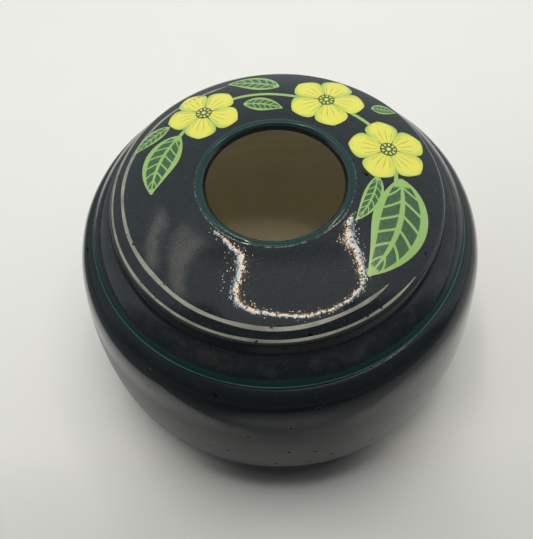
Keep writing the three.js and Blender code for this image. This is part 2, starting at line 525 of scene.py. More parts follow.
STEM_RADIUS = 29.6 * MM
STEM_WANDER = 0.9 * MM
STEM_WAVES = 4
STEM_HALF_WIDTH = 0.5 * MM
STEM_LIFT = 0.05 * MM
STEM_START, STEM_END, STEM_STEP = -6, 150, 3
stem_stations = []
for azimuth in range(STEM_START, STEM_END + 1, STEM_STEP):
    x, y = polar(azimuth, STEM_RADIUS + STEM_WANDER * wave(azimuth * STEM_WAVES))
    stem_stations.append((x, y, azimuth + 90, STEM_HALF_WIDTH))
stem = lay_stroke("stem", stem_stations, across=2, lift=STEM_LIFT)

# base and tip as (azimuth, radius), bow and half width
LEAVES = [
    ((-2, 30.5 * MM), (-54, 33.5 * MM), 6.5 * MM, 6.6 * MM),
    ((-1, 25.0 * MM), (-36, 22.6 * MM), 2.2 * MM, 2.3 * MM),
    ((86, 33.0 * MM), (108, 38.4 * MM), -2.0 * MM, 3.3 * MM),
    ((106, 27.0 * MM), (83, 23.6 * MM), 1.6 * MM, 2.6 * MM),
    ((146, 29.0 * MM), (184, 30.5 * MM), -3.4 * MM, 4.6 * MM),
    ((143, 34.0 * MM), (160, 38.2 * MM), -1.2 * MM, 2.2 * MM),
    ((42, 35.5 * MM), (35, 40.4 * MM), 0.6 * MM, 2.0 * MM),
]
leaves = []
for number, (base, tip, bow, half_width) in enumerate(LEAVES, 1):
    leaves.append(lay_stroke(f"leaf_{number}", leaf_stations(base, tip, bow, half_width), across=12))
print(len(leaves), "leaves and a stem")

# %% [markdown]
# ## Three blossoms
# Five petals set like a wheel make a plain garden flower, a motif that china painters have always used. A
# petal is a stroke from the middle outwards that swells late and ends round. Its neighbours lie a hair
# higher or lower, so no two painted surfaces share one height. A small button covers the middle.

# %% Blossoms
PETALS = 5
PETAL_ROWS = 18
PETAL_STEP = 0.012 * MM
PETAL_START = 0.06
PETAL_END = 0.995
PETAL_PUSH = 1.7
PETAL_FULLNESS = 0.75
PETAL_POINT = 0.03
EYE_RADIUS = 2.2 * MM
EYE_LIFT = 0.14 * MM
EYE_SIDES = 32


def petal_stations(centre, heading, length, half_width):
    """Stations from the middle of a blossom out to a petal's round end."""
    stations = []
    for row in range(PETAL_ROWS + 1):
        t = PETAL_START + (1 - PETAL_START) * math.sin(math.pi / 2 * row / PETAL_ROWS)
        swell = math.sin(math.pi * min(t, PETAL_END) ** PETAL_PUSH)
        width = half_width * max(PETAL_POINT, swell) ** PETAL_FULLNESS
        angle = math.radians(heading)
        x = centre[0] + length * t * math.cos(angle)
        y = centre[1] + length * t * math.sin(angle)
        stations.append((x, y, heading, width))
    return stations


def make_eye(name, centre):
    """The button in the middle of a blossom, a little dome of enamel."""
    start_clean()
    bpy.ops.mesh.primitive_circle_add(
        vertices=EYE_SIDES, radius=EYE_RADIUS, fill_type="TRIFAN", location=(*centre, DRAWING_HEIGHT)
    )
    eye = take_new(name)
    bpy.ops.object.mode_set(mode="EDIT")
    bpy.ops.mesh.select_all(action="SELECT")
    bpy.ops.mesh.subdivide(number_cuts=3)
    bpy.ops.object.mode_set(mode="OBJECT")
    drop_on_lid(eye, PAINT_LIFT + EYE_LIFT, PAINT_THICKNESS * 2)
    return eye


def make_blossom(name, place, first_heading, length, half_width):
    """Five petals, joined into one piece, and their button."""
    centre = polar(*place)
    petals = []
    for petal in range(PETALS):
        heading = first_heading + petal * 360 / PETALS
        lift = PAINT_LIFT + PETAL_STEP * petal
        stations = petal_stations(centre, heading, length, half_width)
        petals.append(lay_stroke(f"petal_{petal}", stations, across=10, lift=lift))
    select(petals)
    bpy.ops.object.join()
    petals[0].name = name
    return petals[0], make_eye(name + "_eye", centre)


# place as (azimuth, radius), heading of the first petal, and a petal's length and half width
BLOSSOMS = [
    ((61, 30.3 * MM), 60, 10.2 * MM, 4.4 * MM),
    ((16, 30.0 * MM), 26, 10.1 * MM, 4.35 * MM),
    ((127, 30.0 * MM), 120, 9.8 * MM, 4.2 * MM),
]
blossoms = []
eyes = []
for number, (place, heading, length, half_width) in enumerate(BLOSSOMS, 1):
    blossom, eye = make_blossom(f"blossom_{number}", place, heading, length, half_width)
    blossoms.append(blossom)
    eyes.append(eye)
print(len(blossoms), "blossoms of", PETALS, "petals")

# %% [markdown]
# ## Nodes in few words
# A material is a tree of nodes. These helpers add one node, set or link its inputs by name, and give the
# parts that every glaze here needs: a soft step, a mix of two colours, and noise on the object's own
# coordinates, which stay with the piece however it moves.

# %% Node helpers


def set_inputs(tree, target, inputs):
    """Sets or links a node's inputs. A value is a number, a colour or another node's output."""
    for key, value in inputs.items():
        if isinstance(value, bpy.types.NodeSocket):
            tree.links.new(value, target.inputs[key])
        else:
            target.inputs[key].default_value = value


def node(tree, kind, inputs=None, **settings):
    """Adds a shader node with its inputs and settings."""
    made = tree.nodes.new("ShaderNode" + kind)
    for key, value in settings.items():
        setattr(made, key, value)
    set_inputs(tree, made, inputs or {})
    return made


def math_node(tree, operation, first, second=0.0):
    """One sum on numbers."""
    return node(tree, "Math", {0: first, 1: second}, operation=operation).outputs[0]


def plus(tree, first, second):
    """The sum of two numbers."""
    return math_node(tree, "ADD", first, second)


def minus(tree, first, second):
    """The first number without the second."""
    return math_node(tree, "SUBTRACT", first, second)


def times(tree, first, second):
    """The product of two numbers, which is also where two masks overlap."""
    return math_node(tree, "MULTIPLY", first, second)


def larger(tree, first, second):
    """The larger of two numbers, which also joins two masks."""
    return math_node(tree, "MAXIMUM", first, second)


def positive(tree, value):
    """A number without its sign."""
    return math_node(tree, "ABSOLUTE", value)


def apart(tree, first, second):
    """How far two numbers lie apart."""
    return positive(tree, minus(tree, first, second))


def soft_step(tree, value, low, high):
    """0 up to low, 1 from high on, and smooth between them. Low may be the larger one."""
    ends = {"Value": value, "From Min": low, "From Max": high}
    return node(tree, "MapRange", ends, interpolation_type="SMOOTHSTEP").outputs[0]


def mixed(tree, factor, first, second):
    """The first colour where factor is 0 and the second where it is 1."""
    made = node(tree, "Mix", {0: factor, 6: first, 7: second}, data_type="RGBA")
    return made.outputs[2]


def noise(tree, vector, scale, detail=2.0, roughness=0.5):
    """Soft noise from 0 to 1. The scale is in bumps per metre."""
    inputs = {"Vector": vector, "Scale": scale, "Detail": detail, "Roughness": roughness}
    return node(tree, "TexNoise", inputs).outputs[0]


def new_material(name):
    """A material, its tree, its shader and the object's own coordinates."""
    material = bpy.data.materials.new(name)
    material.use_nodes = True
    tree = material.node_tree
    shader = tree.nodes["Principled BSDF"]
    place = node(tree, "TexCoord").outputs["Object"]
    return material, tree, shader, place


def axes(tree, vector):
    """The x, y and z of each point or direction."""
    return node(tree, "SeparateXYZ", {0: vector}).outputs


def drawn_on(tree):
    """The stroke's own coordinates: u from base to tip, v from edge to edge."""
    return axes(tree, node(tree, "TexCoord").outputs["UV"])[:2]


def patch(tree, *zones):
    """Where all zones overlap. A zone is (what it goes by, where it starts, where it is full)."""
    mask = soft_step(tree, *zones[0])
    for zone in zones[1:]:
        mask = times(tree, mask, soft_step(tree, *zone))
    return mask


def radius_and_height(tree, place):
    """Distance from the jar's axis, and height, of each point."""
    x, y, height = axes(tree, place)
    flat = node(tree, "CombineXYZ", {0: x, 1: y}).outputs[0]
    return node(tree, "VectorMath", {0: flat}, operation="LENGTH").outputs["Value"], height


# %% [markdown]
# ## The black glaze
# A gloss black glaze is never only black. It is a coat of glass: almost all that is seen is what it
# mirrors, so its colour stays very dark and its finish does the work. Four things break the mirror up: a
# faint waviness, a fine grain that turns a lamp into a band of sparks, faint specks, and now and then a
# pinhole. Scales are in bumps per metre.

# %% Glaze surface
# a dot is (end of its middle, its edge, least strength), the first two in shares of a cell
PIMPLE_SCALE = 1500
PIMPLE_SHARE = 0.9
PIMPLE_DOT = (0.0, 0.5, 0.15)
PIMPLE_DEPTH = 0.008 * MM
WAVE_SCALE = 240
WAVE_DEPTH = 0.03 * MM
PINHOLE_SCALE = 180
PINHOLE_DEPTH = 0.08 * MM
PINHOLE_SQUASH = (1, 1, 1.8)
PINHOLE_DOT = (0.07, 0.12)


def voronoi_dots(tree, place, scale, share, inner, outer, least=1.0):
    """Round dots in a share of the cells of a random pattern, each between least and 1 in its middle."""
    cells = node(tree, "TexVoronoi", {"Vector": place, "Scale": scale}, feature="F1")
    chance = axes(tree, cells.outputs["Color"])
    chosen = math_node(tree, "LESS_THAN", chance[0], share)
    strength = plus(tree, least, times(tree, chance[1], 1 - least))
    dot = minus(tree, 1.0, soft_step(tree, cells.outputs["Distance"], inner, outer))
    return times(tree, dot, times(tree, chosen, strength))


def bump(tree, height, depth, below=None, strength=1.0):
    """A relief of so many metres, on top of another one."""
    inputs = {"Strength": strength, "Distance": depth, "Height": height}
    if below is not None:
        inputs["Normal"] = below
    return node(tree, "Bump", inputs).outputs[0]


def glaze_relief(tree, place, grain, pinholes):
    """Waviness, pimples and pinholes as a normal. Also gives a mask of the pinholes."""
    normal = bump(tree, noise(tree, place, WAVE_SCALE), WAVE_DEPTH)
    pimples = voronoi_dots(tree, place, PIMPLE_SCALE, PIMPLE_SHARE, *PIMPLE_DOT)
    normal = bump(tree, pimples, grain, normal)
    squashed = node(tree, "VectorMath", {0: place, 1: PINHOLE_SQUASH}, operation="MULTIPLY").outputs[0]
    pit = voronoi_dots(tree, squashed, PINHOLE_SCALE, pinholes, *PINHOLE_DOT)
    return bump(tree, minus(tree, 1.0, pit), PINHOLE_DEPTH, normal), pit


# %% [markdown]
# The colour hardly varies over the jar. What varies is the shine: low on the wall and round the rim the glaze
# is more satin, so its mirror images are softer and weaker there, and that fades out towards the right. It
# could be painted as a map. Here it follows from the height and the place, which needs no picture.

# %% Black glaze
# a zone is (where it starts, where it is full)
BLACK = (0.0105, 0.0145, 0.018, 1)
BLACK_WORN = (0.019, 0.024, 0.027, 1)
PAINTED_PIT_SHADE = (0.004, 0.004, 0.004, 1)
SPECK = (0.040, 0.043, 0.042, 1)
CLOUD_SCALE = 45
CLOUD_ZONE = (0.4, 0.75)
MOTTLE_SCALE = 2600
MOTTLE_ZONE = (0.35, 0.75)
SPECK_SCALE = 1900
SPECK_DOT = (0.1, 0.45, 0.0)
GLOSS_SCALE = 90
GLOSS_LEAST, GLOSS_MOST = 0.035, 0.07
SATIN_WALL = (RIM_TOP - 7 * MM, RIM_TOP - 18 * MM)
SATIN_RIM = (RIM_TOP - 2.4 * MM, RIM_TOP - 1.2 * MM)
SATIN_SIDE = (42 * MM, 8 * MM)
SATIN_ROUGHNESS = 0.6
SATIN_SHINE_LOSS = 0.8
SHINE = 0.5
PINHOLE_SHINE_LOSS = 0.45
GLAZE_IOR = 1.46


def black_glaze(name, pinholes, specks, satin):
    """Black gloss. satin is how much softer and weaker it mirrors low on the wall and at the rim."""
    material, tree, shader, place = new_material(name)
    normal, pit = glaze_relief(tree, place, PIMPLE_DEPTH, pinholes)
    clouds = soft_step(tree, noise(tree, place, CLOUD_SCALE, 3.0), *CLOUD_ZONE)
    mottle = soft_step(tree, noise(tree, place, MOTTLE_SCALE, 1.0), *MOTTLE_ZONE)
    colour = mixed(tree, times(tree, mottle, clouds), BLACK, BLACK_WORN)
    colour = mixed(tree, voronoi_dots(tree, place, SPECK_SCALE, specks, *SPECK_DOT), colour, SPECK)
    # painted shade darkens the pinholes
    colour = mixed(tree, pit, colour, PAINTED_PIT_SHADE)
    ends = {"Value": noise(tree, place, GLOSS_SCALE, 3.0), "To Min": GLOSS_LEAST, "To Max": GLOSS_MOST}
    gloss = node(tree, "MapRange", ends).outputs[0]
    height = radius_and_height(tree, place)[1]
    dull = larger(tree, soft_step(tree, height, *SATIN_WALL), soft_step(tree, height, *SATIN_RIM))
    dull = times(tree, times(tree, dull, satin), soft_step(tree, axes(tree, place)[0], *SATIN_SIDE))
    gloss = plus(tree, gloss, times(tree, dull, SATIN_ROUGHNESS))
    shine = minus(tree, SHINE, times(tree, pit, PINHOLE_SHINE_LOSS))
    shine = minus(tree, shine, times(tree, dull, SATIN_SHINE_LOSS))
    looks = {"Base Color": colour, "Roughness": gloss, "Specular IOR Level": shine}
    set_inputs(tree, shader, {**looks, "Normal": normal, "IOR": GLAZE_IOR})
    return material, tree, shader, place, looks


# %% [markdown]
# The lid has the same black with bands: teal on the lip and on the bead, and pale lines on its edges, partly
# where the glaze runs thin and partly a painted highlight. Painted light lies on it as well: a grey sheen of
# smears on the sloping band and a broken glint along the foot of the bead at the front. Bands could be
# painted on a UV map. These are rings round the axis, so masks of the radius draw them. A ring is its inner
# and outer radius and how soft its edges are.

# %% Lid glaze
# some colours below are painted light: the sheen grey, the glint at the bead's foot and part of the pale
# edges
TEAL = (0.013, 0.041, 0.039, 1)
TEAL_BEAD = (0.003, 0.033, 0.031, 1)
PALE_ARRIS_AND_HIGHLIGHT = (0.10, 0.25, 0.235, 1)
SHEEN_GREY = (0.030, 0.031, 0.032, 1)
PAINTED_FOOT_GLINT = (0.17, 0.175, 0.165, 1)
THIN_EDGE_AND_SHEEN_GREY = (0.055, 0.062, 0.062, 1)
LIP_TEAL = (LIP_RADIUS - 1.6 * MM, LIP_RADIUS - 1.0 * MM)
LIP_ARRIS = (LIP_RADIUS - 0.36 * MM, LIP_RADIUS - 0.2 * MM)
LIP_DULL = (LIP_RADIUS - 1.6 * MM, LIP_RADIUS - 0.7 * MM)
LIP_SATIN = 0.42
BEAD_TEAL = (HOLE_RADIUS + 0.75 * MM, BEAD_RADIUS, 0.1 * MM)
BEAD_ARRIS = (HOLE_RADIUS + 0.65 * MM, HOLE_RADIUS + 0.9 * MM, 0.08 * MM)
FOOT_GLINT_RING = (BEAD_RADIUS - 0.05 * MM, BEAD_RADIUS + 0.2 * MM, 0.08 * MM)
FOOT_GLINT_FRONT = (9 * MM, -6 * MM)
SHEEN_SMEARS = (130, 4.0, 0.7)
SMEAR_ZONE = (0.42, 0.7)
SHEEN_RING = (LEDGE_RADIUS + 1.2 * MM, LIP_RADIUS - 1.8 * MM, 0.8 * MM)
STEP_ARRIS = (STEP_RADIUS - 0.5 * MM, STEP_RADIUS, 0.1 * MM)
STEP_RING = (STEP_RADIUS + 0.05 * MM, LEDGE_RADIUS, 0.05 * MM)
STEP_SHINE_LOSS = 0.22
BAND_WANDER = 0.8 * MM
WANDER_SCALE = 90
THIN_EDGE_AND_SHEEN = 0.5
FOOT_GAP_SCALE = 1500
FOOT_GAP_ZONE = (0.42, 0.62)


def ring_mask(tree, radius, inner, outer, soft):
    """1 between two radii, with soft edges."""
    within = minus(tree, 1.0, soft_step(tree, radius, outer - soft, outer + soft))
    return times(tree, soft_step(tree, radius, inner - soft, inner + soft), within)


def lid_glaze():
    """Black, with teal on the lip and on the bead, paler edges of thin glaze and painted highlight, and
    painted sheen and glints.
    """
    material, tree, shader, place, looks = black_glaze(
        "lid_black_glaze", pinholes=0.1, specks=0.7, satin=0.0
    )
    colour = looks["Base Color"]
    radius = radius_and_height(tree, place)[0]
    # painted sheen: grey smears in the middle of the sloping band, where it mirrors light
    smears = soft_step(tree, noise(tree, place, *SHEEN_SMEARS), *SMEAR_ZONE)
    colour = mixed(tree, times(tree, ring_mask(tree, radius, *SHEEN_RING), smears), colour, SHEEN_GREY)
    wander = times(tree, minus(tree, noise(tree, place, WANDER_SCALE), 0.5), BAND_WANDER)
    colour = mixed(tree, soft_step(tree, plus(tree, radius, wander), *LIP_TEAL), colour, TEAL)
    colour = mixed(tree, ring_mask(tree, radius, *BEAD_TEAL), colour, TEAL_BEAD)
    # the lip's edge is paler, partly thin glaze and partly a painted highlight
    colour = mixed(tree, soft_step(tree, radius, *LIP_ARRIS), colour, PALE_ARRIS_AND_HIGHLIGHT)
    # the edges of the step and the bead are paler, partly thin glaze and partly a painted highlight
    thin_edges_and_sheen = larger(tree, ring_mask(tree, radius, *STEP_ARRIS), ring_mask(tree, radius, *BEAD_ARRIS))
    colour = mixed(tree, times(tree, thin_edges_and_sheen, THIN_EDGE_AND_SHEEN), colour, THIN_EDGE_AND_SHEEN_GREY)
    # a painted highlight: a broken pale line along the foot of the bead, at the front only
    broken = soft_step(tree, noise(tree, place, FOOT_GAP_SCALE, 1.0), *FOOT_GAP_ZONE)
    in_front = soft_step(tree, axes(tree, place)[1], *FOOT_GLINT_FRONT)
    foot = times(tree, ring_mask(tree, radius, *FOOT_GLINT_RING), times(tree, broken, in_front))
    colour = mixed(tree, foot, colour, PAINTED_FOOT_GLINT)
    dull = times(tree, soft_step(tree, radius, *LIP_DULL), LIP_SATIN)
    loss = plus(tree, dull, times(tree, ring_mask(tree, radius, *STEP_RING), STEP_SHINE_LOSS))
    gloss = plus(tree, looks["Roughness"], dull)
    shine = minus(tree, looks["Specular IOR Level"], loss)
    set_inputs(tree, shader, {"Base Color": colour, "Roughness": gloss, "Specular IOR Level": shine})
    return material


bowl_black = black_glaze("bowl_black_glaze", pinholes=0.4, specks=0.12, satin=0.36)[0]
lid_black = lid_glaze()
print("glazes", bowl_black.name, lid_black.name)

# %% [markdown]
# ## Inside and underneath
# The inside has a plain cream glaze that looks olive because light only comes in through the hole. The
# foot ring, the seat and the flange are wiped bare before firing, so that the pieces don't stick to the kiln
# shelf or to each other: there the buff clay shows.

# %% Inner glaze and bare clay
LINING = (0.90, 0.85, 0.69, 1)
LINING_PALE = (0.93, 0.885, 0.73, 1)
LINING_BAND_SCALE = 420
LINING_SCALE = 300
LINING_DEPTH = 0.1 * MM
LINING_STRENGTH = 0.3
LINING_ROUGHNESS = 0.06
CLAY = (0.40, 0.30, 0.20, 1)
CLAY_PALE = (0.52, 0.41, 0.29, 1)
CLAY_CLOUD_SCALE = 160
GROG = (0.25, 0.17, 0.11, 1)
GROG_SCALE = 1800
GROG_ZONE = (0.55, 0.7)
GROG_STRENGTH = 0.5
CLAY_SCALE = 2200
CLAY_DEPTH = 0.08 * MM
CLAY_STRENGTH = 0.6
CLAY_ROUGHNESS = 0.85


def lining_glaze():
    """A smooth glaze with faint brushed bands."""
    material, tree, shader, place = new_material("lining_glaze")
    radius, height = radius_and_height(tree, place)
    banded = node(tree, "CombineXYZ", {0: radius, 2: height}).outputs[0]
    colour = mixed(tree, noise(tree, banded, LINING_BAND_SCALE), LINING, LINING_PALE)
    normal = bump(tree, noise(tree, place, LINING_SCALE), LINING_DEPTH, strength=LINING_STRENGTH)
    set_inputs(tree, shader, {"Base Color": colour, "Normal": normal, "Roughness": LINING_ROUGHNESS})
    return material


def bare_clay():
    """Fired buff clay with grog in it."""
    material, tree, shader, place = new_material("bare_clay")
    grog = soft_step(tree, noise(tree, place, GROG_SCALE, 1.0), *GROG_ZONE)
    colour = mixed(tree, noise(tree, place, CLAY_CLOUD_SCALE, 3.0), CLAY, CLAY_PALE)
    colour = mixed(tree, times(tree, grog, GROG_STRENGTH), colour, GROG)
    normal = bump(tree, noise(tree, place, CLAY_SCALE), CLAY_DEPTH, strength=CLAY_STRENGTH)
    set_inputs(tree, shader, {"Base Color": colour, "Normal": normal, "Roughness": CLAY_ROUGHNESS})
    return material


lining = lining_glaze()
clay = bare_clay()

# %% Glaze the bowl and the lid
BARE_FOOT = 0.3 * MM
NEAR_RIM = 0.2 * MM
NEAR_SEAT = 0.1 * MM
FACING_DOWN = -0.05


def glaze_piece(piece, materials, choose):
    """Gives each face the material whose number choose(centre, normal) returns."""
    for material in materials:
        piece.data.materials.append(material)
    for face in piece.data.polygons:
        face.material_index = choose(face.center, face.normal)
    chosen = [face.material_index for face in piece.data.polygons]
    print(piece.name, "faces of each finish", [chosen.count(number) for number in range(len(materials))])


def bowl_zone(centre, normal):
    """0 outside, 1 inside, 2 bare clay."""
    radius = math.hypot(centre.x, centre.y)
    outward = normal.x * centre.x + normal.y * centre.y
    if centre.z < BARE_FOOT:
        return 2
    if centre.z > RIM_TOP - NEAR_RIM:
        return 2 if radius < BARE_SEAT else 0
    if centre.z > FLOOR_HEIGHT - NEAR_RIM and (outward < 0 or radius < FOOT_INNER_RADIUS + NEAR_RIM):
        return 1
    return 0


def lid_zone(centre, normal):
    """0 outside, 1 underside, 2 bare clay."""
    radius = math.hypot(centre.x, centre.y)
    if FLANGE_INNER_RADIUS + EDGE_EASE < radius < BARE_SEAT and centre.z < LIP_UNDERSIDE + NEAR_SEAT:
        return 2
    if normal.z < FACING_DOWN and HOLE_RADIUS + EDGE_EASE < radius < FLANGE_INNER_RADIUS:
        return 1
    if centre.z < HOLLOW_TOP and radius < FLANGE_INNER_RADIUS + EDGE_EASE:
        return 1
    return 0


glaze_piece(bowl, [bowl_black, lining, clay], bowl_zone)
glaze_piece(lid, [lid_black, lining, clay], lid_zone)

# %% [markdown]
# ## Enamels
# Enamel colours are thicker than glaze washes and show the brush. The cream of the stripes has small chips
# where it has worn off. Leaves have a light border and light veins round a darker filling, drawn with the
# stroke's own coordinates: u runs from base to tip and v from edge to edge. Petals are yellow, green
# towards their edge, with short dark strokes out of the middle. A blossom's button has a ring of dots.

# %% Enamel
ENAMEL_GRAIN = 0.01 * MM
ENAMEL_ROUGHNESS = 0.2
ENAMEL_IOR = 1.5


def enamel(name, pieces, draw):
    """Coats pieces with an enamel. draw(tree, place) gives its colour."""
    material, tree, shader, place = new_material(name)
    normal = glaze_relief(tree, place, ENAMEL_GRAIN, 0.0)[0]
    set_inputs(tree, shader, {"Base Color": draw(tree, place), "Normal": normal})
    set_inputs(tree, shader, {"Roughness": ENAMEL_ROUGHNESS, "IOR": ENAMEL_IOR})
    for piece in pieces:
        piece.data.materials.append(material)
    print(name, "coats", [piece.name for piece in pieces])


# %% Cream enamel
CREAM = (0.36, 0.365, 0.305, 1)
CREAM_THIN = (0.17, 0.175, 0.145, 1)
CREAM_CLOUD_SCALE = 120
CREAM_CLOUD_ZONE = (0.35, 0.7)
CREAM_GRAIN_SCALE = 2600
CREAM_GRAIN = 0.55
CHIP_SCALE = 700
CHIP_ZONE = (0.67, 0.70)


def cream_colour(tree, place):
    """Warm cream, uneven in strength, with a few dark chips."""
    clouds = soft_step(tree, noise(tree, place, CREAM_CLOUD_SCALE, 3.0), *CREAM_CLOUD_ZONE)
    grain = times(tree, noise(tree, place, CREAM_GRAIN_SCALE, 1.0), CREAM_GRAIN)
    chips = soft_step(tree, noise(tree, place, CHIP_SCALE), *CHIP_ZONE)
    colour = mixed(tree, clouds, CREAM, CREAM_THIN)
    colour = mixed(tree, grain, colour, CREAM_THIN)
    return mixed(tree, chips, colour, BLACK)


enamel("cream_enamel", [inner_stripe, outer_stripe], cream_colour)

# %% Leaf enamel
LEAF_LIGHT = (0.22, 0.42, 0.095, 1)
LEAF_PALE = (0.33, 0.48, 0.19, 1)
LEAF_DARK = (0.055, 0.125, 0.05, 1)
LEAF_DEEP = (0.035, 0.085, 0.04, 1)
BORDER = (0.68, 0.72)
LEAF_TIP = (0.90, 0.93)
LEAF_BASE = (0.10, 0.07)
MIDRIB = (0.12, 0.08)
SIDE_VEINS = 7
SIDE_VEIN = (0.12, 0.07)
VEIN_SLANT = 0.16
LIGHT_SCALE = 60
FILLING_SCALE = 1800
FILLING_ZONE = (0.3, 0.7)
STEM_LIGHT_SCALE = 90


def leaf_colour(tree, place):
    """Light border, midrib and side veins on a dark filling."""
    u, v = drawn_on(tree)
    from_rib = times(tree, apart(tree, v, 0.5), 2.0)
    border = soft_step(tree, from_rib, *BORDER)
    ends = larger(tree, soft_step(tree, u, *LEAF_TIP), soft_step(tree, u, *LEAF_BASE))
    rib = soft_step(tree, from_rib, *MIDRIB)
    slanted = minus(tree, u, times(tree, from_rib, VEIN_SLANT))
    phase = math_node(tree, "FRACT", times(tree, slanted, SIDE_VEINS))
    side = soft_step(tree, apart(tree, phase, 0.5), *SIDE_VEIN)
    line = larger(tree, larger(tree, border, ends), larger(tree, rib, side))
    light = mixed(tree, noise(tree, place, LIGHT_SCALE), LEAF_LIGHT, LEAF_PALE)
    brushed = soft_step(tree, noise(tree, place, FILLING_SCALE, 1.0), *FILLING_ZONE)
    filling = mixed(tree, brushed, LEAF_DEEP, LEAF_DARK)
    return mixed(tree, line, filling, light)


def stem_colour(tree, place):
    """The leaf's light green alone."""
    return mixed(tree, noise(tree, place, STEM_LIGHT_SCALE), LEAF_LIGHT, LEAF_PALE)


enamel("leaf_enamel", leaves, leaf_colour)
enamel("stem_enamel", [stem], stem_colour)

# %% Petal and button enamel
YELLOW = (0.72, 0.69, 0.11, 1)
YELLOW_GREEN = (0.36, 0.52, 0.11, 1)
PETAL_SHADE = (0.19, 0.24, 0.05, 1)
GREEN_SIDES = (0.26, 0.5)
GREEN_END = (0.62, 1.0)
GREEN_SCALE = 110
GREEN_ZONE = (0.2, 0.6)
COMB_TEETH = 5
COMB_TOOTH = (0.28, 0.12)
COMB_LENGTH = 0.62
COMB_ROUND = 0.7
COMB_FULL = 0.3
COMB_STRENGTH = 0.8
EYE_DOTS = 9
EYE_DOT = (0.0, 0.3)
EYE_RING = 0.34
EYE_RING_WIDTH = (0.1, 0.06)
EYE_MIDDLE = (0.14, 0.1)


def petal_colour(tree, place):
    """Yellow that greens towards the edge, with short dark strokes out of the middle."""
    u, v = drawn_on(tree)
    across = apart(tree, v, 0.5)
    edge = larger(tree, soft_step(tree, across, *GREEN_SIDES), soft_step(tree, u, *GREEN_END))
    cloud = soft_step(tree, noise(tree, place, GREEN_SCALE, 3.0), *GREEN_ZONE)
    colour = mixed(tree, times(tree, edge, cloud), YELLOW, YELLOW_GREEN)
    comb = positive(tree, math_node(tree, "SINE", times(tree, v, COMB_TEETH * math.pi)))
    reach = minus(tree, COMB_LENGTH, times(tree, across, COMB_ROUND))
    stroke = patch(tree, (comb, *COMB_TOOTH), (u, reach, COMB_FULL))
    return mixed(tree, times(tree, stroke, COMB_STRENGTH), colour, PETAL_SHADE)


def eye_colour(tree, place):
    """A dark green button with a ring of yellow dots."""
    u, v = drawn_on(tree)
    right, up = minus(tree, u, 0.5), minus(tree, v, 0.5)
    out = math_node(tree, "SQRT", plus(tree, times(tree, right, right), times(tree, up, up)))
    turn = math_node(tree, "ARCTAN2", up, right)
    turn = math_node(tree, "COSINE", times(tree, turn, EYE_DOTS))
    dots = patch(tree, (apart(tree, out, EYE_RING), *EYE_RING_WIDTH), (turn, *EYE_DOT))
    middle = soft_step(tree, out, *EYE_MIDDLE)
    return mixed(tree, larger(tree, dots, middle), LEAF_DARK, YELLOW)


enamel("petal_enamel", blossoms, petal_colour)
enamel("eye_enamel", eyes, eye_colour)

# %% [markdown]
# ## What moves with what
# The bowl stands still. The lid, with everything that is painted on it, lifts off, so each of those pieces
# rides on the lid's body. The fine bowl and lid stand for the plain construction solids.

# %% Ride on the construction
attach(bowl, "bowl")
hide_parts("bowl")
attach(lid, "lid")
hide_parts("lid")
for piece in [inner_stripe, outer_stripe, stem] + leaves + blossoms + eyes:
    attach(piece, "lid")

# %% [markdown]
# ## Floor and light
# The jar stands in a white light tent that is open towards the viewer. A black glaze mirrors all of it: pale
# walls at the sides and back, the dark room beyond the open front, and the floor. Under the tent's roof
# hangs a frame of narrow lamps, warm on its inside and cool on its outside. Its mirror image is the curved
# band of sparks on the front of the lid.
#
# The floor is a sheet of pale paper on a table. The paper ends just in front of the jar and in slanting
# edges at its sides. Light and shade are painted into both. The paper is painted darker towards the viewer
# and the right. Painted shadow lies under the front of the belly, in front and on the right. The table is
# painted dark as shade, darkest on the left and far out in front, and a painted pool of light lies on it
# straight ahead. Each of these could be a card of its own. Here they are masks in one material, because
# the edge of a card would show.
# A zone is (where it starts, where it is full) in metres: x is to the right, y is away from the viewer and
# across is the distance to either side.

# %% Colours of the floor, with its painted shade and light
# painted shade: the near paper, the greys and the table's sides; painted light: the table ahead
PAPER_NEAR_SHADED = (0.77, 0.772, 0.76, 1)
PAPER_FAR = (0.85, 0.855, 0.845, 1)
PAINTED_SHADOW_GREY = (0.30, 0.30, 0.30, 1)
PAINTED_SHADE_AND_GRAIN = (0.18, 0.18, 0.18, 1)
SHADED_TABLE_LEFT = (0.17, 0.185, 0.195, 1)
SHADED_TABLE_RIGHT = (0.50, 0.505, 0.50, 1)
LIT_TABLE_AHEAD = (0.60, 0.61, 0.61, 1)
# strengths of the painted shade in front of the jar and to its right
FRONT_SHADE_STRENGTH = 0.18
RIGHT_SHADE_STRENGTH = 0.13
GRAIN_TONE = 0.04
GRAIN_SCALE = 40

# %% Zones of the floor
PAPER_SLANT = 0.35
PAPER_FADE = (-0.16, 0.22)
PAPER_SIDE = (0.106, 0.125)
PAPER_FRONT = (-0.075, -0.085)
BELLY_SHADOW_RADIUS = (0.0605, 0.0570)
BELLY_SHADOW_ACROSS = (0.036, 0.008)
FLANK_START = (0.0, 0.03)
FLANK_END = (0.064, 0.036)
FRONT_Y = (-0.045, -0.072)
# the painted shade in front is strongest at the flanks, and this zone goes by their mask
FRONT_FLANKS = (-0.6, 1.0)
RIGHT_X = (0.03, 0.085)
RIGHT_BACK = (0.12, 0.0)
RIGHT_FRONT = (-0.07, -0.03)
TABLE_FADE = (-0.07, 0.10)
AHEAD_BACK = (-0.080, -0.108)
AHEAD_FRONT = (-0.21, -0.16)
AHEAD_ACROSS = (0.055, 0.012)
FAR_RADIUS = (0.155, 0.235)
FAR_FRONT = (-0.02, -0.08)
print("the paper ends", round(-PAPER_FRONT[0] / MM), "mm in front of the jar's middle")

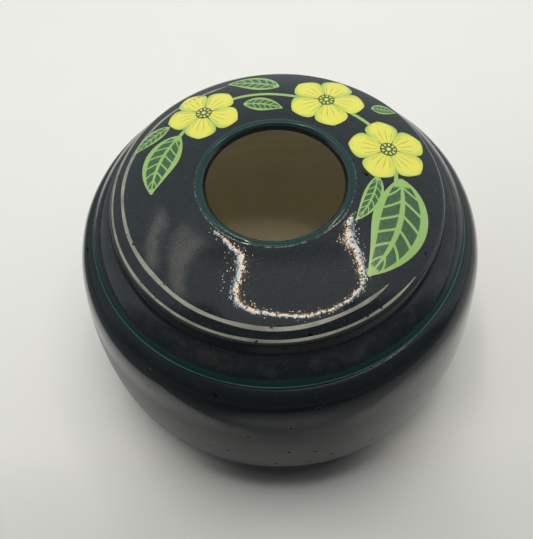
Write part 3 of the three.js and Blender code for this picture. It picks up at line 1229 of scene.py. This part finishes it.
# %% Floor
FLOOR_SIZE = 6
FLOOR_DROP = 0.05 * MM
FLOOR_ROUGHNESS = 0.7
FLOOR_SHINE = 0.2
bpy.ops.mesh.primitive_plane_add(size=FLOOR_SIZE, location=(0, 0, -FLOOR_DROP))
floor = bpy.context.object
floor.name = "floor"
paper, tree, shader, place = new_material("pale_floor")
x, y = axes(tree, place)[:2]
across = positive(tree, x)
radius = radius_and_height(tree, place)[0]
# painted shade: the paper darkens towards the viewer and to the right, where less light falls
from_near = minus(tree, y, times(tree, x, PAPER_SLANT))
colour = mixed(tree, soft_step(tree, from_near, *PAPER_FADE), PAPER_NEAR_SHADED, PAPER_FAR)
# painted shadow on the paper under the front of the belly
belly_shadow = patch(tree, (radius, *BELLY_SHADOW_RADIUS), (across, *BELLY_SHADOW_ACROSS))
colour = mixed(tree, belly_shadow, colour, PAINTED_SHADOW_GREY)
# painted shadow on the paper in front of the jar, strongest at its flanks
flanks = patch(tree, (across, *FLANK_START), (across, *FLANK_END))
front = patch(tree, (y, *FRONT_Y), (flanks, *FRONT_FLANKS))
colour = mixed(tree, times(tree, front, FRONT_SHADE_STRENGTH), colour, PAINTED_SHADOW_GREY)
# painted shade on the paper to the right of the jar
right = patch(tree, (x, *RIGHT_X), (y, *RIGHT_BACK), (y, *RIGHT_FRONT))
colour = mixed(tree, times(tree, right, RIGHT_SHADE_STRENGTH), colour, PAINTED_SHADOW_GREY)
# the table beyond the paper is painted dark as shade, darkest on the left
table = mixed(tree, soft_step(tree, x, *TABLE_FADE), SHADED_TABLE_LEFT, SHADED_TABLE_RIGHT)
# a painted pool of light on the table straight ahead of the jar
lit_ahead = patch(tree, (y, *AHEAD_BACK), (across, *AHEAD_ACROSS), (y, *AHEAD_FRONT))
table = mixed(tree, lit_ahead, table, LIT_TABLE_AHEAD)
aside = minus(tree, across, times(tree, y, PAPER_SLANT))
off_paper = larger(tree, soft_step(tree, aside, *PAPER_SIDE), soft_step(tree, y, *PAPER_FRONT))
colour = mixed(tree, off_paper, colour, table)
# painted shade on the floor far out in front
far_shade = patch(tree, (radius, *FAR_RADIUS), (y, *FAR_FRONT))
colour = mixed(tree, far_shade, colour, PAINTED_SHADE_AND_GRAIN)
# a faint random grain in the paper
grain = times(tree, noise(tree, place, GRAIN_SCALE, 4.0), GRAIN_TONE)
colour = mixed(tree, grain, colour, PAINTED_SHADE_AND_GRAIN)
looks = {"Base Color": colour, "Roughness": FLOOR_ROUGHNESS, "Specular IOR Level": FLOOR_SHINE}
set_inputs(tree, shader, looks)
floor.data.materials.append(paper)
print("floor", FLOOR_SIZE, "m across,", len(tree.nodes), "nodes in its paper")

# %% [markdown]
# ## The lamp frame
# Each corner of the frame is given in shares of the frame's height over the table. A lamp lies between two
# corners. Its power follows from its area, so that every length of the frame is equally bright.

# %% Lamps
FRAME_HEIGHT = 0.6
WARM_WIDTH = 0.005
COOL_WIDTH = 0.009
WARM_RADIANCE = 38
COOL_RADIANCE = 18
WARM = (1.0, 0.66, 0.36)
COOL = (0.74, 0.93, 1.0)
FRAME_CORNER_SHARES = [
    (-0.160, 0.52),
    (-0.115, 0.36),
    (-0.200, 0.03),
    (-0.195, -0.06),
    (-0.135, -0.13),
    (-0.030, -0.18),
    (0.120, -0.20),
    (0.235, -0.18),
    (0.360, -0.10),
    (0.420, -0.01),
    (0.420, 0.07),
    (0.310, 0.27),
    (0.225, 0.42),
    (0.200, 0.52),
]
corners = [Vector((x, y)) * FRAME_HEIGHT for x, y in FRAME_CORNER_SHARES]


def area_lamp(name, place, size, radiance, colour, turn=0.0):
    """A flat lamp that looks straight down."""
    bpy.ops.object.light_add(type="AREA", location=place, rotation=(0, 0, turn))
    lamp = bpy.context.object
    lamp.name = name
    lamp.data.shape = "RECTANGLE"
    lamp.data.size, lamp.data.size_y = size
    lamp.data.energy = radiance * math.pi * size[0] * size[1]
    lamp.data.color = colour
    return lamp


def strip_lamp(name, start, end, width, radiance, colour):
    """A lamp along one side of the frame."""
    middle = (start + end) / 2
    run = end - start
    place = (middle.x, middle.y, FRAME_HEIGHT)
    area_lamp(name, place, (run.length, width), radiance, colour, math.atan2(run.y, run.x))


def outward(start, end, distance):
    """Both ends of a side of the frame, moved out of it."""
    run = (end - start).normalized()
    move = Vector((run.y, -run.x)) * distance
    return start + move, end + move


for side, (start, end) in enumerate(zip(corners, corners[1:])):
    strip_lamp(f"warm_{side}", start, end, WARM_WIDTH, WARM_RADIANCE, WARM)
    start, end = outward(start, end, (WARM_WIDTH + COOL_WIDTH) / 2)
    strip_lamp(f"cool_{side}", start, end, COOL_WIDTH, COOL_RADIANCE, COOL)
print("lamps", 2 * (len(corners) - 1))

# %% [markdown]
# ## A soft key lamp
# A wide lamp behind and above the jar throws the shadow that lies in front of it. It is taken out of the
# mirror images, as a photographer would do with a polarising sheet, because the glaze shows the frame alone.

# %% Key lamp
KEY_PLACE = (0, 0.2, 0.9)
KEY_SIZE = (0.5, 0.36)
KEY_RADIANCE = 5.8
KEY_COLOUR = (1.0, 0.99, 0.96)
key = area_lamp("key", KEY_PLACE, KEY_SIZE, KEY_RADIANCE, KEY_COLOUR)
key.visible_glossy = False
print("key lamp", round(key.data.energy, 2), "W")

# %% [markdown]
# ## A flag over the front
# Whoever takes the picture holds a camera just in front of the jar and shades the table there. A dark card
# does the same. It is hidden from the camera's own rays, so it throws its shadow and shows as a dark patch in
# the glaze without getting into the picture.

# %% Flag
FLAG_HEIGHT = 0.2
FLAG_FRONT = -0.30
FLAG_BACK = -0.072
FLAG_WIDTH = 0.30
FLAG_DARK = (0.10, 0.10, 0.10, 1)
FLAG_LIGHT = (0.14, 0.14, 0.14, 1)
FLAG_WEAVE_SCALE = 300
FLAG_ROUGHNESS = 0.9
bpy.ops.mesh.primitive_plane_add(size=1, location=(0, (FLAG_FRONT + FLAG_BACK) / 2, FLAG_HEIGHT))
flag = bpy.context.object
flag.name = "flag"
flag.scale = (FLAG_WIDTH, FLAG_BACK - FLAG_FRONT, 1)
bpy.ops.object.transform_apply(location=False, rotation=False, scale=True)
flag.visible_camera = False
cloth, tree, shader, place = new_material("flag_cloth")
colour = mixed(tree, noise(tree, place, FLAG_WEAVE_SCALE), FLAG_DARK, FLAG_LIGHT)
set_inputs(tree, shader, {"Base Color": colour, "Roughness": FLAG_ROUGHNESS})
flag.data.materials.append(cloth)
print("flag", FLAG_WIDTH, "m wide,", FLAG_HEIGHT, "m over the table")

# %% [markdown]
# ## The tent
# The tent itself is the world: the direction that a ray leaves in gives its brightness. The front half of
# the horizon is open and dark, nearly up to the roof. On the left two folds of the cloth catch the light and
# show as two slanting streaks on the lid. At the back a beam keeps the top of the wall in shade.

# %% Directions in the tent
WOBBLE = 0.05
WOBBLE_SCALE = 9
world = bpy.data.worlds.new("tent")
bpy.context.scene.world = world
world.use_nodes = True
tree = world.node_tree
direction = node(tree, "TexCoord").outputs["Generated"]
x, y, rise = axes(tree, direction)
level = node(tree, "CombineXYZ", {0: x, 1: y}).outputs[0]
reach = node(tree, "VectorMath", {0: level}, operation="LENGTH").outputs["Value"]
heading = node(tree, "VectorMath", {0: level}, operation="NORMALIZE").outputs[0]
wobble = times(tree, minus(tree, noise(tree, direction, WOBBLE_SCALE), 0.5), WOBBLE)
steepness = plus(tree, math_node(tree, "ARCSINE", rise), wobble)


def facing(azimuth):
    """1 towards an azimuth, 0 at right angles to it, -1 away from it."""
    x, y = polar(azimuth, 1)
    return node(tree, "VectorMath", {0: heading, 1: (x, y, 0)}, operation="DOT_PRODUCT").outputs["Value"]


def fold(steep, spread, azimuth, width):
    """A soft band at one steepness, in degrees, that fades out to both sides of an azimuth."""
    off = apart(tree, steepness, math.radians(steep))
    band = soft_step(tree, off, math.radians(spread), 0.0)
    narrow, wide = math.cos(math.radians(width / 2)), math.cos(math.radians(width))
    side = soft_step(tree, facing(azimuth), wide, narrow)
    return times(tree, band, side)


# %% Brightness of the tent
WALLS = 0.64
ROOF = 0.76
ROOF_ZONE = (0.75, 0.95)
OPEN_TOWARDS_FRONT = (0.0, 0.3)
OPEN_BELOW_ROOF = (0.29, 0.40)
OPEN_FRONT = 0.06
FOLD_LEVEL = 1.5
# steepness, spread, azimuth and width of a fold, in degrees
FOLDS = [(49.5, 5, 146, 21), (59.5, 5, 148, 38)]
BEAM_SHADE = -0.38
BEAM = (64.5, 10, 90, 50)
TENT_WHITE = (0.88, 0.97, 1.0, 1)
ROOF_WHITE = (0.95, 0.97, 0.95, 1)
FOLD_WARM = (1.0, 0.96, 0.84, 1)

opening = patch(tree, (facing(FRONT), *OPEN_TOWARDS_FRONT), (reach, *OPEN_BELOW_ROOF))
roof = soft_step(tree, rise, *ROOF_ZONE)
white = node(tree, "Mix", {0: roof, 2: WALLS, 3: ROOF}, data_type="FLOAT").outputs[0]
white = plus(tree, white, times(tree, fold(*BEAM), BEAM_SHADE))
lit = larger(tree, fold(*FOLDS[0]), fold(*FOLDS[1]))
white = plus(tree, white, times(tree, lit, FOLD_LEVEL))
strength = node(tree, "Mix", {0: opening, 2: white, 3: OPEN_FRONT}, data_type="FLOAT").outputs[0]
colour = mixed(tree, lit, mixed(tree, roof, TENT_WHITE, ROOF_WHITE), FOLD_WARM)
set_inputs(tree, tree.nodes["Background"], {"Strength": strength, "Color": colour})
print("tent walls", WALLS, "roof", ROOF, "open front", OPEN_FRONT)

# %% Colour management
bpy.context.scene.view_settings.view_transform = "Standard"
